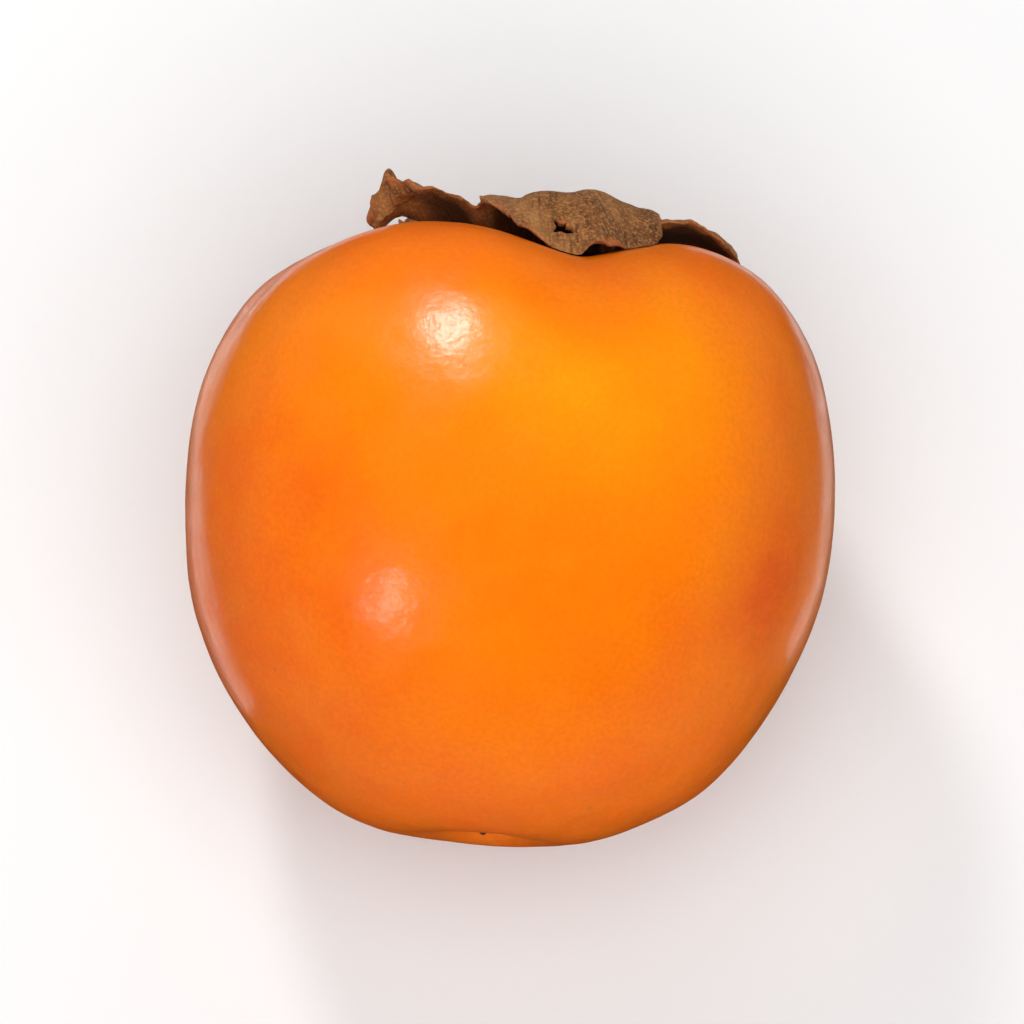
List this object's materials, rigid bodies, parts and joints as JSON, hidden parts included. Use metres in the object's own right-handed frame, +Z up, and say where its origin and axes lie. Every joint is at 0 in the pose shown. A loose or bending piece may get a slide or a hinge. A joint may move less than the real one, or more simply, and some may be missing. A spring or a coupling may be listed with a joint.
{
  "type": "persimmon",
  "caption": "Ripe persimmon lying on its side, with a dried lobed calyx and the stub of its cut stem at one end and the dried remnant of the style at the other.",
  "frame": {"origin": "middle of the small flat spot that the fruit lies on", "axes": "+Z up; the fruit's own axis runs along +Y towards the calyx, which is raised by 5 degrees"},
  "size_m": [0.0678, 0.0686, 0.0663],
  "materials": {
    "skin": "smooth waxy skin, semi-gloss",
    "dried_calyx": "dry, velvety and crinkled",
    "dry_stem": "dry bark with a pale cut end",
    "dry_style": "dry and dark"
  },
  "bodies": {
    "root": {"fruit": "skin", "calyx": "dried_calyx", "stem": "dry_stem", "style_tip": "dry_style"}
  },
  "joints": []
}
